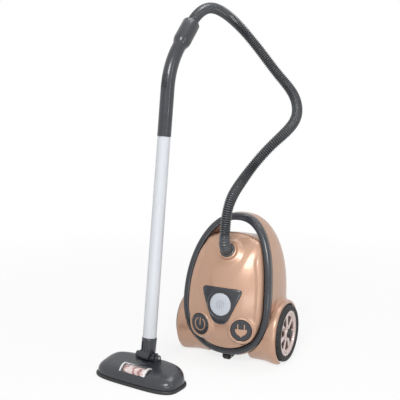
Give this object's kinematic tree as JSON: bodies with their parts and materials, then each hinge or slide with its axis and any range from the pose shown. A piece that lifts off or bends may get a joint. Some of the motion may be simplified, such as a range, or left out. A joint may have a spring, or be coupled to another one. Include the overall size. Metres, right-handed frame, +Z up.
{
  "type": "toy vacuum cleaner",
  "caption": "Toy canister vacuum cleaner: rounded body with carrying arch and buttons on wheels, ribbed hose, standing wand and floor nozzle with a visible roller",
  "frame": {"origin": "on the floor, under the middle of the bounding box of everything but the hose", "axes": "+X to the right of someone who looks at the front, +Y towards the back, +Z up"},
  "size_m": [0.274, 0.3585, 0.617],
  "materials": {
    "copper_plastic": "glossy metallic copper lacquer",
    "dark_plastic": "glossy dark grey moulding",
    "black_plastic": "matte black moulding",
    "grey_plastic": "satin light grey moulding",
    "hub_plastic": "pale metallic lacquer",
    "tyre": "soft matte tyre",
    "hose_plastic": "satin dark grey ribbed tube",
    "steel": "bright zinc",
    "board": "green circuit board",
    "cells": "printed steel can",
    "clear_plastic": "clear moulding",
    "white_plastic": "glossy white moulding",
    "roller_plastic": "pale pink with a red swirl"
  },
  "bodies": {
    "canister": {"front_cover": "copper_plastic", "handle_hoop": "dark_plastic", "rear_shell": "copper_plastic", "left_wheel_arch": "copper_plastic", "right_wheel_arch": "copper_plastic", "button_bezel": "dark_plastic", "circuit_board": "board", "sound_switch": "black_plastic", "speaker": "black_plastic", "battery_box": "black_plastic", "battery_cells": "cells", "battery_contacts": "steel", "battery_cover": "copper_plastic", "battery_cover_screw": "steel", "shell_screws": "steel", "wheel_axle": "steel", "caster_socket": "black_plastic", "left_hub_cap": "black_plastic", "right_hub_cap": "black_plastic", "sound_button_spring": "steel", "power_button_spring": "steel", "plug_button_spring": "steel"},
    "left_wheel": {"left_tyre": "tyre", "left_hub": "hub_plastic"},
    "right_wheel": {"right_tyre": "tyre", "right_hub": "hub_plastic"},
    "caster": {"caster_fork": "black_plastic", "caster_pin": "steel"},
    "caster_roll": {"caster_wheel": "black_plastic"},
    "big_button": {"sound_button": "grey_plastic"},
    "power_key": {"power_button": "dark_plastic", "power_symbol": "copper_plastic"},
    "plug_key": {"plug_button": "dark_plastic", "plug_symbol": "copper_plastic"},
    "hose_run": {"hose_elbow": "dark_plastic", "hose": "hose_plastic", "hose_cuff": "dark_plastic"},
    "wand": {"wand_handle": "dark_plastic", "wand_tube": "grey_plastic", "nozzle_neck": "dark_plastic"},
    "slider": {"air_slider": "black_plastic"},
    "nozzle": {"nozzle_hood": "dark_plastic", "nozzle_sole": "black_plastic", "nozzle_window": "clear_plastic", "window_rims": "white_plastic", "neck_pin": "steel", "nozzle_screws": "steel", "roller_pins": "steel"},
    "brush": {"roller": "roller_plastic"}
  },
  "joints": [
    {"name": "left_wheel_spin", "type": "hinge", "parent": "canister", "child": "left_wheel", "pos_m": [-0.05595, 0.08169, 0.05], "axis": [1, 0, 0], "continuous": true},
    {"name": "right_wheel_spin", "type": "hinge", "parent": "canister", "child": "right_wheel", "pos_m": [0.12405, 0.08169, 0.05], "axis": [1, 0, 0], "continuous": true},
    {"name": "caster_swivel", "type": "hinge", "parent": "canister", "child": "caster", "pos_m": [0.03405, 0.05069, 0.02], "axis": [0, 0, 1], "continuous": true},
    {"name": "caster_spin", "type": "hinge", "parent": "caster", "child": "caster_roll", "pos_m": [0.03405, 0.03969, 0.006], "axis": [1, 0, 0], "continuous": true},
    {"name": "big_button_press", "type": "slide", "parent": "canister", "child": "big_button", "axis": [0, 0.9903, -0.1392], "range_m": [0, 0.003], "stiffness_N_per_m": 400, "springref_m": -0.002, "deforming": ["sound_button_spring"]},
    {"name": "power_press", "type": "slide", "parent": "canister", "child": "power_key", "axis": [0.2244, 0.972, -0.0698], "range_m": [0, 0.0025], "stiffness_N_per_m": 400, "springref_m": -0.002, "deforming": ["power_button_spring"]},
    {"name": "plug_press", "type": "slide", "parent": "canister", "child": "plug_key", "axis": [-0.2244, 0.972, -0.0698], "range_m": [0, 0.0025], "stiffness_N_per_m": 400, "springref_m": -0.002, "deforming": ["plug_button_spring"]},
    {"name": "hose_swivel", "type": "hinge", "parent": "canister", "child": "hose_run", "pos_m": [0.03405, 0.03804, 0.198], "axis": [0, -0.8192, 0.5736], "range_deg": [-15, 15]},
    {"name": "wand_swivel", "type": "hinge", "parent": "hose_run", "child": "wand", "pos_m": [-0.03969, 0.04665, 0.57819], "axis": [0.0726, 0.6909, 0.7193], "range_deg": [-15, 15]},
    {"name": "air_slide", "type": "slide", "parent": "wand", "child": "slider", "axis": [0.0217, 0.2068, 0.9781], "range_m": [-0.004, 0.004]},
    {"name": "nozzle_tilt", "type": "hinge", "parent": "wand", "child": "nozzle", "pos_m": [-0.05345, -0.08431, 0.034], "axis": [0.9945, -0.1045, 0], "range_deg": [-15, 35]},
    {"name": "roller_spin", "type": "hinge", "parent": "nozzle", "child": "brush", "pos_m": [-0.0568, -0.11613, 0.014], "axis": [0.9945, -0.1045, 0], "continuous": true}
  ]
}
